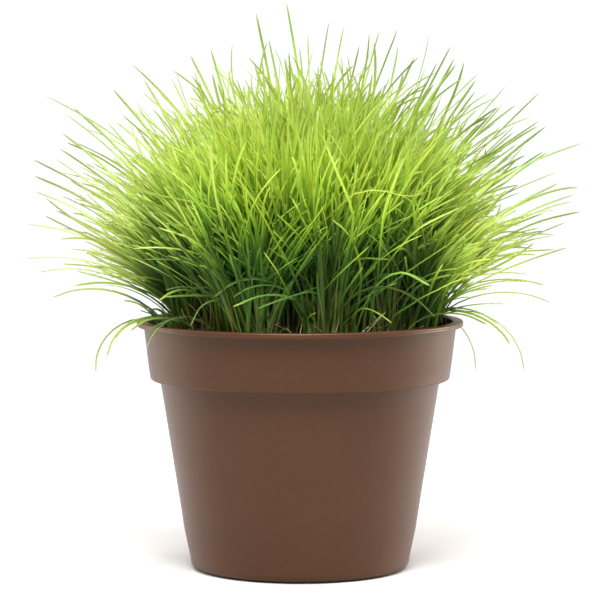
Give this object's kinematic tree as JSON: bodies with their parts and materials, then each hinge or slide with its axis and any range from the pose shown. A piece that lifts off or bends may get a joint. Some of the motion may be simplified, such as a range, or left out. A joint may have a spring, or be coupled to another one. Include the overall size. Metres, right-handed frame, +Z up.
{
  "type": "potted zoysia grass",
  "caption": "Round brown plastic plant pot with a small lip and a deep collar, full of potting mix and a dense fan of fine green grass that reaches out past the lip.",
  "frame": {"origin": "middle of the pot's foot, on the surface that it stands on", "axes": "+Z up; the front faces -Y, and +X is to the right of someone who looks at the front"},
  "size_m": [0.287, 0.1998, 0.294],
  "materials": {
    "pot": "satin",
    "potting_mix": "matte",
    "grass": "satin"
  },
  "bodies": {
    "root": {"pot": "pot", "potting_mix": "potting_mix", "grass_tuft_01": "grass", "grass_tuft_02": "grass", "grass_tuft_03": "grass", "grass_tuft_04": "grass", "grass_tuft_05": "grass", "grass_tuft_06": "grass", "grass_tuft_07": "grass", "grass_tuft_08": "grass", "grass_tuft_09": "grass", "grass_tuft_10": "grass", "grass_tuft_11": "grass", "grass_tuft_12": "grass", "grass_tuft_13": "grass", "grass_tuft_14": "grass", "grass_tuft_15": "grass", "grass_tuft_16": "grass", "grass_tuft_17": "grass", "grass_tuft_18": "grass", "grass_tuft_19": "grass", "grass_tuft_20": "grass", "grass_tuft_21": "grass", "grass_tuft_22": "grass", "grass_tuft_23": "grass", "grass_tuft_24": "grass", "grass_tuft_25": "grass", "grass_tuft_26": "grass", "grass_tuft_27": "grass", "grass_tuft_28": "grass", "grass_tuft_29": "grass", "grass_tuft_30": "grass"}
  },
  "joints": []
}
